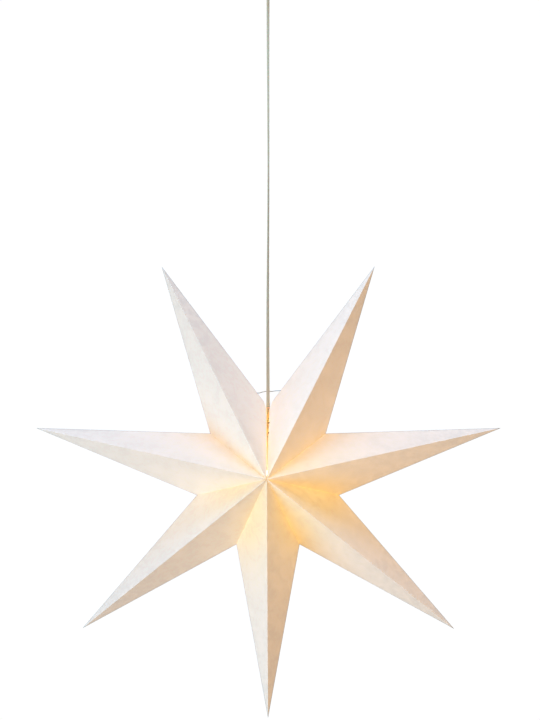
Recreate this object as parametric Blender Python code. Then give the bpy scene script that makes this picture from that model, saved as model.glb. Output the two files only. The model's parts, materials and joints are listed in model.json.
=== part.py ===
"""Seven-pointed folded paper star lantern, lit from inside, hung on a flat cord from a ceiling hook.

Origin: where the ceiling bracket meets the ceiling. +Z up, the front of the star faces -Y, metres.
"""
import math

import bmesh
import bpy
from mathutils import Matrix, Vector

GAP = 0.0003  # between two pieces that touch

# paper star
POINTS = 7
TIP_RADIUS = 0.375
VALLEY_RADIUS = 0.115
HALF_DEPTH = 0.100
PAPER = 0.0003
SEAM_ANGLE = math.radians(2.4)  # the top valley stays open by this much
CREASE_CUT = 0.0001  # what the hinge side of a crease leaves free
RIDGE_CLOSED = math.radians(4.6)  # half angle left in a ridge when the star is folded up
VALLEY_CLOSED = math.radians(7.1)
OUTLINE_CUT = 0.0003
BACK_RIDGE_EASE = 0.0014  # extra width off the back ridges, at the back centre
STAR_DROP = 0.840  # ceiling to the centre of the star

# flat cord
CORD_WIDTH = 0.0054
CORD_THICK = 0.0032
CORD_ROOM = 0.0003  # round the cord in its bores
CORD_IN = 0.010  # how deep each end sits in its bore
CORD_DOORWAY = 0.0085  # what the paper corners at the top valley are cut back
CORD_POINTS = 48

# hanger wire across the top valley
WIRE_RADIUS = 0.0006
WIRE_ABOVE = 0.0213  # above the corner of the top valley
WIRE_RISE = 0.0006  # of its arch
WIRE_TILT = 0.0036  # how much higher its right end is
WIRE_ENTRY = 0.004  # how far each end reaches into its paper point
NOTCH_RADIUS = 0.0017

# seam studs
STUD_RADIUS = 0.0013
STUD_HEIGHT = 0.0008
STUD_INSET = 0.0005  # from the panel's edge to the middle of a stud, so its rim reaches over the seam
STUD_DOWN = (0.0375, 0.0585)  # along the crease from the valley corner

# lampholder, heights from the centre of the star
HOLDER_RADIUS = 0.0138
HOLDER_WALL = 0.0016
SHELL_BOTTOM = 0.012
SHELL_TOP = 0.046
CAP_SHOULDER = 0.059
CAP_TOP = 0.078
NIPPLE_RADIUS = 0.0052
INSERT_HEIGHT = 0.005
SLEEVE_WALL = 0.0005
SLEEVE_HEIGHT = 0.019

# bulb
SCREW_RADIUS = 0.0067
SCREW_HEIGHT = 0.0235
THREAD_DEPTH = 0.0003
THREAD_TURNS = 6
SCREW_ROOM = 0.0005  # between the bulb's screw and the sleeve
INSULATOR_HEIGHT = 0.0020
CONTACT_HEIGHT = 0.0010
CONTACT_RADIUS = 0.0024
GLOBE_RADIUS = 0.0225
GLOBE_CENTRE = -0.017
NECK_RADIUS = 0.0063
GLASS_WALL = 0.0008

# ceiling fitting
BRACKET_RADIUS = 0.038
BRACKET_THICK = 0.002
SKIRT_HEIGHT = 0.010
SKIRT_WALL = 0.0018
CUP_WALL = 0.0018
CUP_HEIGHT = 0.050
CUP_STRAIGHT = 0.026
CUP_HOLE = 0.012
SCREW_SHANK = 0.0015
SCREW_HEAD = 0.0030
SCREW_HEAD_THICK = 0.0016
HOOK_RADIUS = 0.002  # of its rod
HOOK_BEND = 0.009
HOOK_SHANK = 0.0087
NUT_RADIUS = 0.0055
NUT_HEIGHT = 0.0032
LINK_RADIUS = 0.0015
LINK_BEND = 0.006
LINK_LENGTH = 0.018  # between the middles of its two bends
EYE_THICK = 0.003
EYE_WIDTH = 0.0095
EYE_ROOM = 0.00055
GRIP_RADIUS = 0.005
GRIP_LENGTH = 0.017

BOTTOM = Vector((0, 0, -STAR_DROP))
HOOK_TOP = -BRACKET_THICK - GAP
HOOK_CENTRE = HOOK_TOP - HOOK_SHANK - HOOK_BEND
HOOK_LOW = HOOK_CENTRE - HOOK_BEND
LINK_TOP = HOOK_LOW + HOOK_RADIUS + GAP + LINK_RADIUS
LINK_LOW = LINK_TOP - LINK_LENGTH
EYE_BORE = LINK_RADIUS + EYE_ROOM
GRIP_TOP = LINK_LOW - EYE_BORE - 0.0018
GRIP_LOW = GRIP_TOP - GRIP_LENGTH
WIRE_HEIGHT = VALLEY_RADIUS + WIRE_ABOVE
CORD_BORE = CORD_WIDTH / 2 + CORD_ROOM


def clear():
    for obj in list(bpy.data.objects):
        bpy.data.objects.remove(obj, do_unlink=True)


def material(name, colour, rough, metal=0.0):
    mat = bpy.data.materials.new(name)
    mat.use_nodes = True
    shader = mat.node_tree.nodes["Principled BSDF"]
    shader.inputs["Base Color"].default_value = (*colour, 1)
    shader.inputs["Roughness"].default_value = rough
    shader.inputs["Metallic"].default_value = metal
    return mat


def add_mesh(name, verts, faces, mat, origin=(0, 0, 0), smooth=False):
    """A closed mesh from world points, with its own material and its origin where it turns."""
    origin = Vector(origin)
    mesh = bpy.data.meshes.new(name)
    mesh.from_pydata([Vector(v) - origin for v in verts], [], faces)
    work = bmesh.new()
    work.from_mesh(mesh)
    bmesh.ops.recalc_face_normals(work, faces=work.faces)
    work.to_mesh(mesh)
    work.free()
    mesh.polygons.foreach_set("use_smooth", [smooth] * len(mesh.polygons))
    obj = bpy.data.objects.new(name, mesh)
    obj.location = origin
    bpy.context.scene.collection.objects.link(obj)
    colour, rough, metal = mat
    mesh.materials.append(material(name, colour, rough, metal))
    return obj


def lathe(name, profile, mat, base=(0, 0, 0), turn=None, count=48, ring=False, origin=None):
    """Turn (radius, height) points about the vertical through base; ring closes a hollow profile."""
    place = Matrix.Translation(base) @ (turn or Matrix.Identity(4))
    verts, rows = [], []
    for radius, height in profile:
        steps = count if radius > 1e-9 else 1
        rows.append([len(verts) + i for i in range(steps)])
        for i in range(steps):
            a = 2 * math.pi * i / count
            verts.append(place @ Vector((radius * math.cos(a), radius * math.sin(a), height)))
    faces = []
    for low, high in list(zip(rows, rows[1:])) + ([(rows[-1], rows[0])] if ring else []):
        for i in range(count):
            k = (i + 1) % count
            face = [low[i % len(low)], low[k % len(low)], high[k % len(high)], high[i % len(high)]]
            face = list(dict.fromkeys(face))
            if len(face) > 2:
                faces.append(face)
    return add_mesh(name, verts, faces, mat, base if origin is None else origin, smooth=True)


def tube(name, points, radius, mat, cyclic=False, origin=(0, 0, 0), sides=3):
    origin = Vector(origin)
    curve = bpy.data.curves.new(name, "CURVE")
    curve.dimensions = "3D"
    curve.bevel_depth = radius
    curve.bevel_resolution = sides
    curve.use_fill_caps = not cyclic
    line = curve.splines.new("POLY")
    line.points.add(len(points) - 1)
    for knot, point in zip(line.points, points):
        knot.co = (*(Vector(point) - origin), 1)
    line.use_cyclic_u = cyclic
    line.use_smooth = True
    obj = bpy.data.objects.new(name, curve)
    obj.location = origin
    bpy.context.scene.collection.objects.link(obj)
    colour, rough, metal = mat
    curve.materials.append(material(name, colour, rough, metal))
    return obj


def boolean(obj, cutter, operation="DIFFERENCE"):
    """Cut obj with cutter, or join the two, and leave one mesh."""
    mod = obj.modifiers.new("cut", "BOOLEAN")
    mod.operation = operation
    mod.solver = "EXACT"
    mod.object = cutter
    cutter.hide_render = True
    cutter.display_type = "WIRE"
    graph = bpy.context.evaluated_depsgraph_get()
    done = bpy.data.meshes.new_from_object(obj.evaluated_get(graph))
    obj.modifiers.remove(mod)
    old = obj.data
    obj.data = done
    done.name = obj.name
    bpy.data.meshes.remove(old)
    bpy.data.objects.remove(cutter, do_unlink=True)


def smooth_path(route, count):
    """count points at even spacing on a smooth curve through the route's points."""
    route = [Vector(p) for p in route]
    ends = [2 * route[0] - route[1]] + route + [2 * route[-1] - route[-2]]
    fine = []
    for a, b, c, d in zip(ends, ends[1:], ends[2:], ends[3:]):
        for i in range(24):
            t = i / 24
            fine.append(0.5 * (2 * b + (c - a) * t + (2 * a - 5 * b + 4 * c - d) * t * t
                               + (3 * b - a - 3 * c + d) * t ** 3))
    fine.append(route[-1])
    run = [0.0]
    for a, b in zip(fine, fine[1:]):
        run.append(run[-1] + (b - a).length)
    out, k = [], 0
    for i in range(count):
        want = run[-1] * i / (count - 1)
        while k < len(run) - 2 and run[k + 1] < want:
            k += 1
        out.append(fine[k].lerp(fine[k + 1], (want - run[k]) / (run[k + 1] - run[k])))
    return out


WHITE_PAPER = ((0.90, 0.88, 0.83), 0.85, 0.0)
STEEL = ((0.62, 0.62, 0.60), 0.30, 1.0)
BRASS = ((0.80, 0.62, 0.28), 0.30, 1.0)
WHITE_PLASTIC = ((0.86, 0.86, 0.83), 0.35, 0.0)
CREAM_CORD = ((0.72, 0.71, 0.60), 0.55, 0.0)
BLACK_GLASS = ((0.03, 0.03, 0.035), 0.20, 0.0)
OPAL_GLASS = ((0.93, 0.91, 0.86), 0.12, 0.0)
CERAMIC = ((0.85, 0.84, 0.80), 0.40, 0.0)


# --- paper star ---
STEP_ANGLE = (2 * math.pi - SEAM_ANGLE) / (2 * POINTS)


def star_point(radius, angle):
    return BOTTOM + Vector((radius * math.cos(angle), 0, radius * math.sin(angle)))


def trim(corners, cuts):
    """Move each edge of a flat polygon inward by its (start, end) cut and meet them again."""
    lines = []
    for i, (start, end) in enumerate(cuts):
        a, b = corners[i], corners[(i + 1) % len(corners)]
        inward = Vector((a.y - b.y, b.x - a.x)).normalized()
        lines.append((a + inward * start, b + inward * end))
    out = []
    for (a, b), (c, d) in zip([lines[-1]] + lines[:-1], lines):
        u, v, w = b - a, d - c, c - a
        out.append(a + u * (w.x * v.y - w.y * v.x) / (u.x * v.y - u.y * v.x))
    return out


def panel(name, apex, tip, valley, hinge, free_edge, ease, doorway):
    """One flat facet between a ridge, a valley and the outline, bevelled so its creases can close."""
    along = (tip - apex).normalized()
    across = (valley - apex) - along * (valley - apex).dot(along)
    across.normalize()
    out = along.cross(across)
    if out.dot(apex - BOTTOM) < 0:
        out.negate()
    half = PAPER / 2
    ridge = half / math.tan(RIDGE_CLOSED) + CREASE_CUT * 2
    fold = half / math.tan(VALLEY_CLOSED) + CREASE_CUT * 2
    if free_edge:
        fold = CREASE_CUT
    flat = [Vector(((p - apex).dot(along), (p - apex).dot(across))) for p in (apex, tip, valley)]
    outer = [(CREASE_CUT + ease, CREASE_CUT), (CREASE_CUT, CREASE_CUT), (fold, fold)]
    inner = [(ridge + ease, ridge), (OUTLINE_CUT, OUTLINE_CUT), (CREASE_CUT, CREASE_CUT)]
    if doorway:
        corner = flat.pop()
        flat += [corner + (end - corner).normalized() * doorway for end in (flat[1], flat[0])]
        outer.insert(2, (0, 0))
        inner.insert(2, (0, 0))
    verts = []
    for cuts, lift in ((outer, half), (inner, -half)):
        verts += [apex + along * p.x + across * p.y + out * lift for p in trim(flat, cuts)]
    n = len(flat)
    faces = [list(range(n)), list(range(n, 2 * n))]
    for i in range(n):
        k = (i + 1) % n
        faces += [[i, k, n + k], [i, n + k, n + i]]
    return add_mesh(name, verts, faces, WHITE_PAPER, hinge)


def wire_notch(turn):
    """Where the hanger wire crosses the outline of the top point, right (1) or left (-1)."""
    tip = star_point(TIP_RADIUS, -math.pi / 2 + turn * (POINTS - 1) * STEP_ANGLE)
    corner = star_point(VALLEY_RADIUS, -math.pi / 2 + turn * POINTS * STEP_ANGLE)
    height = BOTTOM.z + WIRE_HEIGHT + turn * WIRE_TILT / 2
    return corner.lerp(tip, (height - corner.z) / (tip.z - corner.z))


def build_star():
    front = BOTTOM + Vector((0, -HALF_DEPTH, 0))
    back = BOTTOM + Vector((0, HALF_DEPTH, 0))
    for side, turn in (("right", 1), ("left", -1)):
        for j in range(POINTS):
            low, high = (-math.pi / 2 + turn * STEP_ANGLE * k for k in (j, j + 1))
            tip_at, valley_at = (low, high) if j % 2 == 0 else (high, low)
            tip, valley = star_point(TIP_RADIUS, tip_at), star_point(VALLEY_RADIUS, valley_at)
            last = j == POINTS - 1
            if j == 0:
                stem, half = "bottom", side
            else:
                stem = ("low", "mid", "top")[(j - 1) // 2] + "_" + side
                half = "lower" if j % 2 else "upper"
            for face, apex, hinge, ease in (("front", front, front, 0.0),
                                            ("back", back, valley, BACK_RIDGE_EASE)):
                obj = panel(f"{stem}_{face}_{half}", apex, tip, valley, hinge, last, ease,
                            CORD_DOORWAY if last else 0)
                if last:
                    slot = lathe("notch_cutter", [(0, -0.008), (NOTCH_RADIUS, -0.008),
                                                  (NOTCH_RADIUS, 0.008), (0, 0.008)],
                                 WHITE_PAPER, wire_notch(turn), Matrix.Rotation(math.pi / 2, 4, "Y"), 16)
                    boolean(obj, slot)
                if last and face == "front" and side == "right":
                    add_studs(apex, tip, valley)


def add_studs(apex, tip, valley):
    """Two studs on the right-hand top panel, whose rims reach over the open seam."""
    down = (apex - valley).normalized()
    inward = (tip - valley) - down * (tip - valley).dot(down)
    inward.normalize()
    out = down.cross(inward)
    if out.dot(apex - BOTTOM) < 0:
        out.negate()
    turn = Matrix((inward, out.cross(inward), out)).transposed().to_4x4()
    for number, run in enumerate(STUD_DOWN, 1):
        base = valley + down * run + inward * STUD_INSET + out * (PAPER / 2 + GAP)
        lathe(f"seam_stud_{number}", [(0, 0), (STUD_RADIUS, 0), (STUD_RADIUS, STUD_HEIGHT * 0.5),
                                      (STUD_RADIUS * 0.6, STUD_HEIGHT), (0, STUD_HEIGHT)],
              BRASS, base, turn, 20)


# --- hanger wire ---
def build_wire():
    """A wire between the two top points that bends round the back of the cord and grips it."""
    around = CORD_WIDTH / 2 + CORD_ROOM + WIRE_RADIUS
    left, right = wire_notch(-1), wire_notch(1)
    middle = (left.z + right.z) / 2 + WIRE_RISE

    def arm(notch, turn):
        """One straight end, then the lead into the bend."""
        lead = notch.lerp(Vector((0, 0, middle)), 0.45)
        return [notch + Vector((turn * WIRE_ENTRY, 0, 0)), notch - Vector((turn * 0.003, 0, 0)),
                lead + Vector((0, 0, WIRE_RISE * 0.4)), Vector((turn * around * 1.45, around * 0.12, middle))]

    bend = [Vector((-around * math.cos(a), around * math.sin(a), middle))
            for a in (math.pi * i / 10 for i in range(2, 9))]
    tube("hanger_wire", smooth_path(arm(left, -1) + bend + arm(right, 1)[::-1], 64), WIRE_RADIUS, STEEL,
         sides=2)


# --- flat cord ---
def cord_route():
    """The cord's middle line, top to bottom; it hangs straight under the star's weight."""
    top, low = GRIP_LOW + CORD_IN, -STAR_DROP + CAP_TOP - CORD_IN
    return [(0, 0, top), (0, 0, top - 0.10), (0.0006, 0, top - 0.30), (-0.0004, 0, top - 0.52),
            (0, 0, low + 0.06), (0, 0, low)]


def build_cord():
    rings, count = smooth_path(cord_route(), CORD_POINTS), 14
    verts = [p + Vector((CORD_WIDTH / 2 * math.cos(a), CORD_THICK / 2 * math.sin(a), 0))
             for p in rings for a in (2 * math.pi * i / count for i in range(count))]
    faces = [list(range(count)), list(range(len(verts) - count, len(verts)))]
    for r in range(len(rings) - 1):
        for i in range(count):
            k = (i + 1) % count
            faces.append([r * count + i, r * count + k, (r + 1) * count + k, (r + 1) * count + i])
    add_mesh("cord", verts, faces, CREAM_CORD, (0, 0, rings[0].z), smooth=True)


# --- lampholder and bulb ---
def build_holder():
    r, w = HOLDER_RADIUS, HOLDER_WALL
    cap = [(CORD_BORE, CAP_TOP), (NIPPLE_RADIUS, CAP_TOP), (NIPPLE_RADIUS, CAP_SHOULDER + 0.006),
           (NIPPLE_RADIUS + 0.0012, CAP_SHOULDER + 0.0042)]
    turn = [math.radians(a) for a in (75, 55, 35, 15, 0)]
    cap += [(r - 0.006 + 0.006 * math.cos(a), CAP_SHOULDER - 0.003 + 0.006 * math.sin(a)) for a in turn]
    cap += [(r, SHELL_TOP + GAP), (r - w, SHELL_TOP + GAP), (r - w, CAP_SHOULDER - 0.003),
            (r - w - 0.003, CAP_SHOULDER), (CORD_BORE, CAP_SHOULDER)]
    lathe("holder_cap", cap, WHITE_PLASTIC, BOTTOM, ring=True)
    shell = [(r - w, SHELL_BOTTOM), (r - 0.0004, SHELL_BOTTOM), (r, SHELL_BOTTOM + 0.0006)]
    for i in range(3):
        z = SHELL_TOP - 0.012 + 0.003 * i
        shell += [(r, z), (r - 0.0005, z + 0.0005), (r - 0.0005, z + 0.0012), (r, z + 0.0017)]
    shell += [(r, SHELL_TOP), (r - w, SHELL_TOP)]
    lathe("holder_shell", shell, WHITE_PLASTIC, BOTTOM, ring=True)
    block = r - w - GAP
    low = SHELL_TOP - INSERT_HEIGHT
    lathe("holder_insert", [(0, low), (block, low), (block, SHELL_TOP), (block * 0.6, SHELL_TOP + 0.002),
                            (0, SHELL_TOP + 0.002)], CERAMIC, BOTTOM)
    inner = SCREW_RADIUS + SCREW_ROOM
    top = low - GAP
    sleeve = [(inner, top - SLEEVE_HEIGHT), (inner + SLEEVE_WALL, top - SLEEVE_HEIGHT),
              (inner + SLEEVE_WALL, top - 0.001), (block - 0.0012, top - 0.001), (block - 0.0012, top),
              (inner, top)]
    lathe("holder_sleeve", sleeve, BRASS, BOTTOM, ring=True)
    return low


def build_bulb(roof):
    tip = roof - GAP
    shelf = tip - CONTACT_HEIGHT - GAP
    top = shelf - INSULATOR_HEIGHT - GAP
    low = top - SCREW_HEIGHT
    lathe("bulb_contact", [(0, tip - CONTACT_HEIGHT), (CONTACT_RADIUS, tip - CONTACT_HEIGHT),
                           (CONTACT_RADIUS * 0.8, tip - 0.0003), (0, tip)], STEEL, BOTTOM)
    lathe("bulb_insulator", [(0, shelf - INSULATOR_HEIGHT), (SCREW_RADIUS - 0.0015, shelf - INSULATOR_HEIGHT),
                             (CONTACT_RADIUS + 0.0006, shelf), (0, shelf)], BLACK_GLASS, BOTTOM)
    screw = [(0, low), (SCREW_RADIUS, low)]
    pitch = (SCREW_HEIGHT - 0.007) / THREAD_TURNS
    for i in range(THREAD_TURNS):
        z = low + 0.005 + pitch * i
        screw += [(SCREW_RADIUS - THREAD_DEPTH * 2, z), (SCREW_RADIUS, z + pitch / 2)]
    screw += [(SCREW_RADIUS - THREAD_DEPTH * 2, top - 0.002), (SCREW_RADIUS - 0.0012, top), (0, top)]
    lathe("bulb_screw", screw, BRASS, BOTTOM)
    neck = low - GAP
    outer = [(NECK_RADIUS, neck)]
    start = math.acos(NECK_RADIUS * 1.15 / GLOBE_RADIUS)
    arc = [start - (start + math.pi / 2) * i / 16 for i in range(17)]
    outer += [(GLOBE_RADIUS * math.cos(a), GLOBE_CENTRE + GLOBE_RADIUS * math.sin(a)) for a in arc[:-1]]
    outer.append((0, GLOBE_CENTRE - GLOBE_RADIUS))
    inside = GLOBE_RADIUS - GLASS_WALL
    inner = [(inside * math.cos(a), GLOBE_CENTRE + inside * math.sin(a)) for a in arc[:-1]]
    inner = [(0, GLOBE_CENTRE - inside)] + inner[::-1] + [(NECK_RADIUS - GLASS_WALL, neck)]
    lathe("bulb_glass", outer + inner, OPAL_GLASS, BOTTOM, ring=True)


# --- ceiling fitting ---
def build_ceiling():
    r = BRACKET_RADIUS
    lathe("ceiling_bracket", [(0, 0), (r, 0), (r, -SKIRT_HEIGHT), (r - SKIRT_WALL, -SKIRT_HEIGHT),
                              (r - SKIRT_WALL, -BRACKET_THICK), (0, -BRACKET_THICK)], STEEL)
    inner, bend = r + GAP, CUP_HEIGHT - CUP_STRAIGHT
    wide = inner - CUP_HOLE
    arc = [math.pi / 2 * i / 10 for i in range(11)]
    outside = [(inner + CUP_WALL, 0), (inner + CUP_WALL, -CUP_STRAIGHT)]
    outside += [(CUP_HOLE + (wide + CUP_WALL) * math.cos(a), -CUP_STRAIGHT - bend * math.sin(a))
                for a in arc[1:]]
    inside = [(CUP_HOLE + wide * math.cos(a), -CUP_STRAIGHT - (bend - CUP_WALL) * math.sin(a))
              for a in reversed(arc)] + [(inner, 0)]
    lathe("ceiling_cup", outside + inside, WHITE_PLASTIC, ring=True, count=64)
    for side, turn in (("right", 1), ("left", -1)):
        at = turn * (inner + CUP_WALL)
        across = Matrix.Rotation(turn * math.pi / 2, 4, "Y")
        middle = -SKIRT_HEIGHT * 0.6
        for name in ("ceiling_cup", "ceiling_bracket"):
            hole = lathe("hole_cutter", [(0, -0.008), (SCREW_SHANK + GAP, -0.008),
                                         (SCREW_SHANK + GAP, 0.008), (0, 0.008)],
                         STEEL, (at, 0, middle), across, 20)
            boolean(bpy.data.objects[name], hole)
        length = CUP_WALL + SKIRT_WALL + 0.002
        lathe(f"cup_screw_{side}", [(0, -length), (SCREW_SHANK, -length), (SCREW_SHANK, GAP),
                                    (SCREW_HEAD, GAP), (SCREW_HEAD * 0.8, GAP + SCREW_HEAD_THICK),
                                    (0, GAP + SCREW_HEAD_THICK)], STEEL, (at, 0, middle), across, 20)
    hook = [(0, 0, HOOK_TOP), (0, 0, HOOK_TOP - HOOK_SHANK * 0.5)]
    for i in range(22):
        a = math.pi / 2 - math.radians(13) * i
        hook.append((0, HOOK_BEND * math.cos(a), HOOK_CENTRE + HOOK_BEND * math.sin(a)))
    tube("ceiling_hook", hook, HOOK_RADIUS, STEEL)
    nut = HOOK_TOP - 0.0004
    lathe("hook_nut", [(HOOK_RADIUS + GAP, nut), (NUT_RADIUS, nut), (NUT_RADIUS, nut - NUT_HEIGHT),
                       (HOOK_RADIUS + GAP, nut - NUT_HEIGHT)], STEEL, ring=True, count=6)
    link = []
    for i in range(12):
        a = math.pi * i / 11
        link.append((LINK_BEND * math.cos(a), 0, LINK_TOP - LINK_BEND + LINK_BEND * math.sin(a)))
    for i in range(12):
        a = math.pi + math.pi * i / 11
        link.append((LINK_BEND * math.cos(a), 0, LINK_LOW + LINK_BEND + LINK_BEND * math.sin(a)))
    tube("hanging_link", link, LINK_RADIUS, STEEL, cyclic=True, origin=(0, 0, HOOK_LOW))
    build_grip()


def build_grip():
    """Strain relief: an eye on the link and a round body that holds the end of the cord."""
    pivot = Vector((0, 0, LINK_LOW))
    body = [(CORD_BORE, GRIP_LOW), (GRIP_RADIUS - 0.0006, GRIP_LOW), (GRIP_RADIUS, GRIP_LOW + 0.0008),
            (GRIP_RADIUS, GRIP_TOP - 0.0012), (GRIP_RADIUS - 0.0012, GRIP_TOP), (0, GRIP_TOP),
            (0, GRIP_LOW + CORD_IN + 0.002), (CORD_BORE, GRIP_LOW + CORD_IN + 0.002)]
    grip = lathe("cord_grip", body, WHITE_PLASTIC, ring=True, origin=pivot)
    reach, half = EYE_WIDTH / 2, EYE_THICK / 2
    outline = [(-reach * 0.72, GRIP_TOP - 0.003), (reach * 0.72, GRIP_TOP - 0.003)]
    for i in range(13):
        a = math.pi * i / 12
        outline.append((reach * math.cos(a), LINK_LOW + (reach - 0.0008) * math.sin(a)))
    n = len(outline)
    verts = [(x, y, z) for x in (-half, half) for y, z in outline]
    faces = [list(range(n)), list(range(n, 2 * n))]
    faces += [[i, (i + 1) % n, n + (i + 1) % n, n + i] for i in range(n)]
    boolean(grip, add_mesh("eye_plate", verts, faces, WHITE_PLASTIC), "UNION")
    boolean(grip, lathe("eye_cutter", [(0, -0.01), (EYE_BORE, -0.01), (EYE_BORE, 0.01), (0, 0.01)],
                        WHITE_PLASTIC, pivot, Matrix.Rotation(math.pi / 2, 4, "Y"), 24))


clear()
build_ceiling()
build_cord()
build_bulb(build_holder())
build_star()
build_wire()
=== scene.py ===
"""Folded paper star lantern: its paper, cord, lamp and ceiling fitting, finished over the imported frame."""

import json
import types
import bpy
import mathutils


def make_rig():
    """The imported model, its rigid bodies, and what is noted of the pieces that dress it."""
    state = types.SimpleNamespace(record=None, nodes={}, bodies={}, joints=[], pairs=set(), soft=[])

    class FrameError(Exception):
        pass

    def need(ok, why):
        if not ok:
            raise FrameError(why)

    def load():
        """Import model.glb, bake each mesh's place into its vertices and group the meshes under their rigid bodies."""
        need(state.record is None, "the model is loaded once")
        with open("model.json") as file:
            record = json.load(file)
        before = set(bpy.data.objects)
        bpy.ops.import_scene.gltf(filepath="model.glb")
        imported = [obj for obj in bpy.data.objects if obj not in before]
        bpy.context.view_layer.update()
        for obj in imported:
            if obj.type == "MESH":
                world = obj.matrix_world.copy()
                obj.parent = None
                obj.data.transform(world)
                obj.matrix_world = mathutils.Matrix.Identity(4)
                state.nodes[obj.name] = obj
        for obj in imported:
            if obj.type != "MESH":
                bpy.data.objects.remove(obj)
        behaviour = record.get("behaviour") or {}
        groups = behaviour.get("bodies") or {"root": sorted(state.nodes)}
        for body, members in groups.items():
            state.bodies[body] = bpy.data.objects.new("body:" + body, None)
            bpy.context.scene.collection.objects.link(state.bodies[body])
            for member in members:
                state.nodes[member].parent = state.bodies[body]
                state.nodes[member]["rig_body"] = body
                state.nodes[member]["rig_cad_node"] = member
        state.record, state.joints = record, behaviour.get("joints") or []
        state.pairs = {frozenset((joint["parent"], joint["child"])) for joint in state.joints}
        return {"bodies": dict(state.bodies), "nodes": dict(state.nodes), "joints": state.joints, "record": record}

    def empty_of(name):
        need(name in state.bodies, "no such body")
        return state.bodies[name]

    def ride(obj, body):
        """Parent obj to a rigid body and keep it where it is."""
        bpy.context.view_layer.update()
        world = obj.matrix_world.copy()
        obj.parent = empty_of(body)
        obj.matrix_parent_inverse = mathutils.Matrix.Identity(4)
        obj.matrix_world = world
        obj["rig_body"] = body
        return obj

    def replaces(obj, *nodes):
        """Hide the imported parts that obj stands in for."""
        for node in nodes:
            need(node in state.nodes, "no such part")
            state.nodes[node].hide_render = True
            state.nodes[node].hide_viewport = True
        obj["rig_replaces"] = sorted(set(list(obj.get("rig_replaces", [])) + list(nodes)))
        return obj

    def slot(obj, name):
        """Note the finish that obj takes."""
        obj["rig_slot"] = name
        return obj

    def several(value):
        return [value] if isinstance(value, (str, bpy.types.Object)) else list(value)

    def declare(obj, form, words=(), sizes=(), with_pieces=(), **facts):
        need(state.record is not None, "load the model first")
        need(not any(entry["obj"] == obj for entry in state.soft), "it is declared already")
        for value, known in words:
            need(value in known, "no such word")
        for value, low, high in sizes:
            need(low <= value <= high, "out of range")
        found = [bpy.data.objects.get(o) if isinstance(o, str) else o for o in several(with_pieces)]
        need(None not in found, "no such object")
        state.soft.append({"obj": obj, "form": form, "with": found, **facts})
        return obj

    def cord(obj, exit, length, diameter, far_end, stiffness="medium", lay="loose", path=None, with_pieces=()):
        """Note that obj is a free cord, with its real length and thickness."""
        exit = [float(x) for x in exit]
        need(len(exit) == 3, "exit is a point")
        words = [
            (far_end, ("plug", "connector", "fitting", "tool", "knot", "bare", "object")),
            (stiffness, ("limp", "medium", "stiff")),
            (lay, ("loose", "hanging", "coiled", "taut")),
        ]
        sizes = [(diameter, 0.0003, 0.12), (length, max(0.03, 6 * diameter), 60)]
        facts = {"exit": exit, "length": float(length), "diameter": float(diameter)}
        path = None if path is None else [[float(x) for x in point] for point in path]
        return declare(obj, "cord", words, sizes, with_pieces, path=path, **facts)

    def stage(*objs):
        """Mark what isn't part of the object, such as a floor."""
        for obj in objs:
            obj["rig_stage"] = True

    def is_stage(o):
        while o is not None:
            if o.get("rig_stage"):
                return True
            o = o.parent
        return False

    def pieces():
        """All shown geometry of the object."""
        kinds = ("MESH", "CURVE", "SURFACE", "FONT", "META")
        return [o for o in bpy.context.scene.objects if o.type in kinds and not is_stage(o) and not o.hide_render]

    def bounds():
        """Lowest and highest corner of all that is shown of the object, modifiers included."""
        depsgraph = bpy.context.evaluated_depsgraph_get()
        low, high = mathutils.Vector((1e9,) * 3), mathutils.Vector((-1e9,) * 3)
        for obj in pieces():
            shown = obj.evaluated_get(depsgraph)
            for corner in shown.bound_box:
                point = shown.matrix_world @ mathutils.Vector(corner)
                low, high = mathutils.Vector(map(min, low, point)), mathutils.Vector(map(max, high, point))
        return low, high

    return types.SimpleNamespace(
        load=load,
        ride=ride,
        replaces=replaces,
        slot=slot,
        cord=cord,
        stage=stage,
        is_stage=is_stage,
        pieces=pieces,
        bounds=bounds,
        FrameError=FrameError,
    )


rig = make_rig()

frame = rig.load()

import json
import logging
import math
import random
from dataclasses import dataclass, field
from enum import Enum
from typing import Callable, Sequence

import bmesh
import bpy
from mathutils import Vector

LOG = logging.getLogger("star_lantern")
SEED = 71
RANKS = ("low", "mid", "top")

Colour = tuple[float, float, float]
DUST: Colour = (0.74, 0.72, 0.68)


class Side(Enum):
    """Which side of the open seam a piece of the star is on."""

    RIGHT = 1
    LEFT = -1


class Face(Enum):
    """Front or back of the star; the value is the sign of its apex along Y."""

    FRONT = -1
    BACK = 1


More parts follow.
